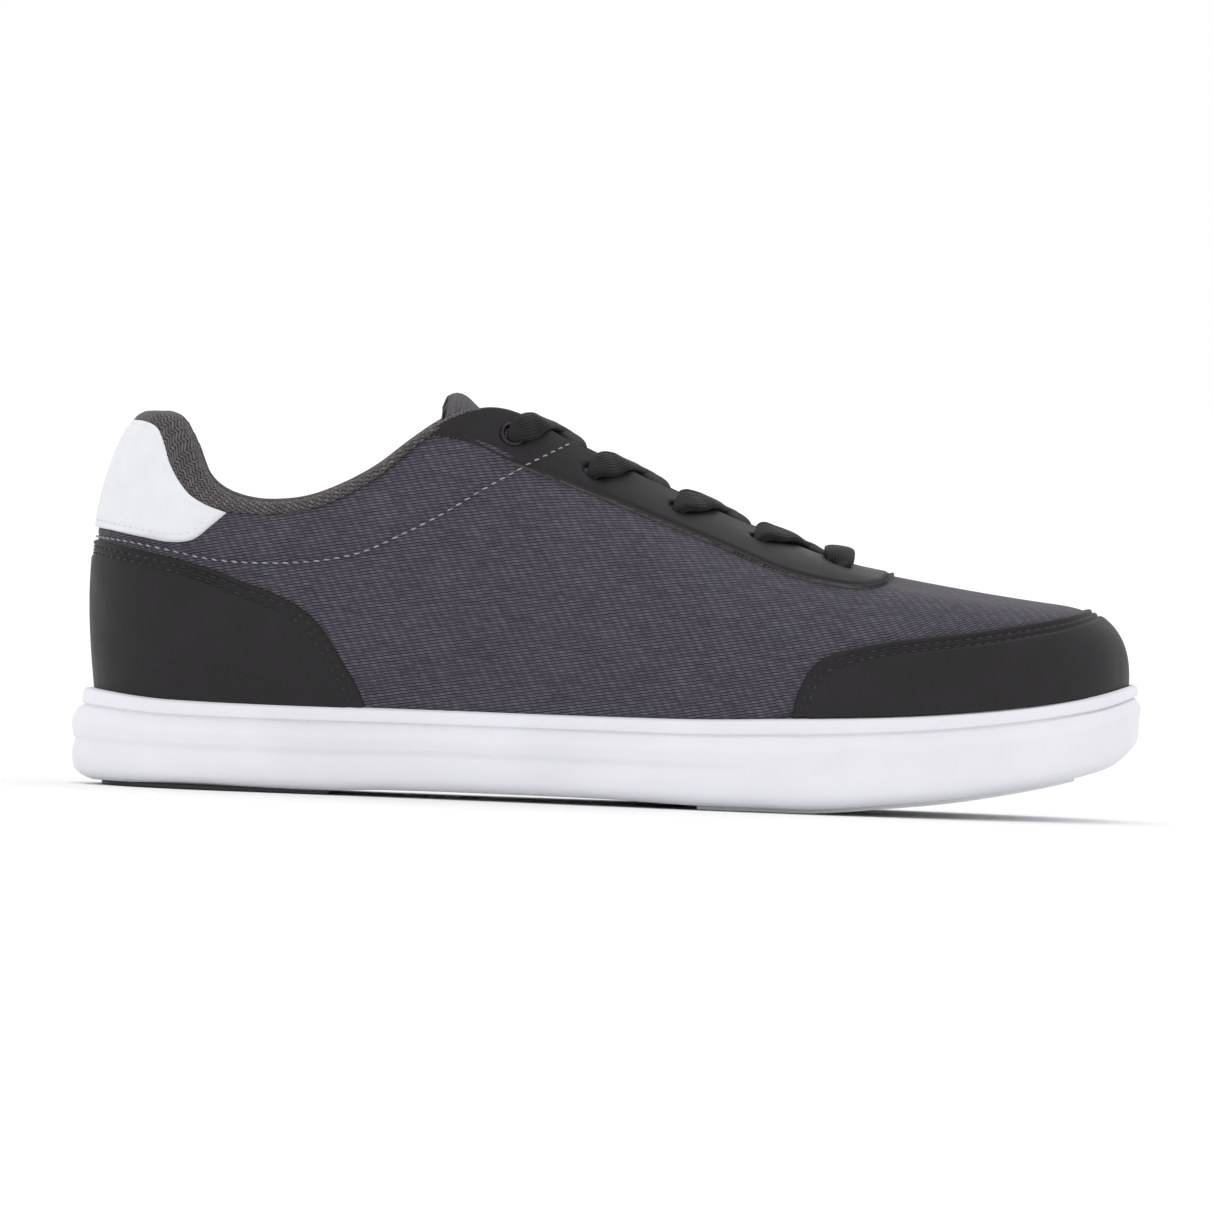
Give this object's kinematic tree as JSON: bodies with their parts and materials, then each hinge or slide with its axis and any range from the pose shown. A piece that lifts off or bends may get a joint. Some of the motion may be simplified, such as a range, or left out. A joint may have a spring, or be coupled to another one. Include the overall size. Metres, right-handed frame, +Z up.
{
  "type": "bowling shoe",
  "caption": "Low-cut lace-up bowling shoe for the right foot: cupsole with a slide pad and a rubber heel pad, textile upper, padded collar, hinged tongue and lift-out footbed.",
  "frame": {"origin": "on the floor under the middle of the shoe's bounding box, where the heel pad and the slide pad rest", "axes": "+X along the shoe to the toe, +Y to the inner (medial) side of a right shoe, +Z up"},
  "size_m": [0.3, 0.1082, 0.1113],
  "materials": {
    "sole_foam": "matte moulded, white",
    "sole_rubber": "matte moulded, black",
    "slide_microfibre": "short-napped microfibre, pale grey",
    "midsole_foam": "open foam, off white",
    "shank_steel": "rolled strip",
    "board_fibre": "pressed fibre board",
    "footbed_foam": "soft foam",
    "footbed_cloth": "brushed knit",
    "textile": "herringbone twill, charcoal",
    "leather": "fine-grained synthetic leather, satin black",
    "tab_leather": "smooth synthetic leather, white",
    "lining_knit": "air mesh knit, warm grey",
    "lining_cloth": "plain lining cloth",
    "stiffener": "thermoplastic sheet",
    "padding_foam": "open-cell foam",
    "eyelet_metal": "black nickel",
    "lace_cord": "flat ribbed braid, black",
    "aglet_plastic": "clear-coated black tip"
  },
  "bodies": {
    "shoe": {"cupsole": "sole_foam", "heel_pad": "sole_rubber", "slide_pad": "slide_microfibre", "midsole_insert": "midsole_foam", "shank": "shank_steel", "insole_board": "board_fibre", "textile_upper": "textile", "toe_cap": "leather", "heel_overlay": "leather", "heel_tab": "tab_leather", "eyestay": "leather", "vamp_lining": "lining_cloth", "toe_puff": "stiffener", "heel_counter": "stiffener", "collar_foam": "padding_foam", "collar_lining": "lining_knit", "eyelet_outer_side": "eyelet_metal", "eyelet_inner_side": "eyelet_metal", "lace": "lace_cord", "aglet_outer_side": "aglet_plastic", "aglet_inner_side": "aglet_plastic"},
    "tongue": {"tongue_outer": "textile", "tongue_foam": "padding_foam", "tongue_lining": "lining_knit"},
    "footbed": {"footbed_foam": "footbed_foam", "footbed_cover": "footbed_cloth"}
  },
  "joints": [
    {"name": "tongue_hinge", "type": "hinge", "parent": "shoe", "child": "tongue", "pos_m": [0.068, 0.002, 0.057], "axis": [0, 1, 0], "range_deg": [-10, 0], "stiffness_Nm_per_rad": 0.3, "springref_deg": 6.88},
    {"name": "footbed_lift", "type": "hinge", "parent": "shoe", "child": "footbed", "pos_m": [0.139, 0.007, 0.0254], "axis": [0, 1, 0], "range_deg": [0, 4]}
  ]
}
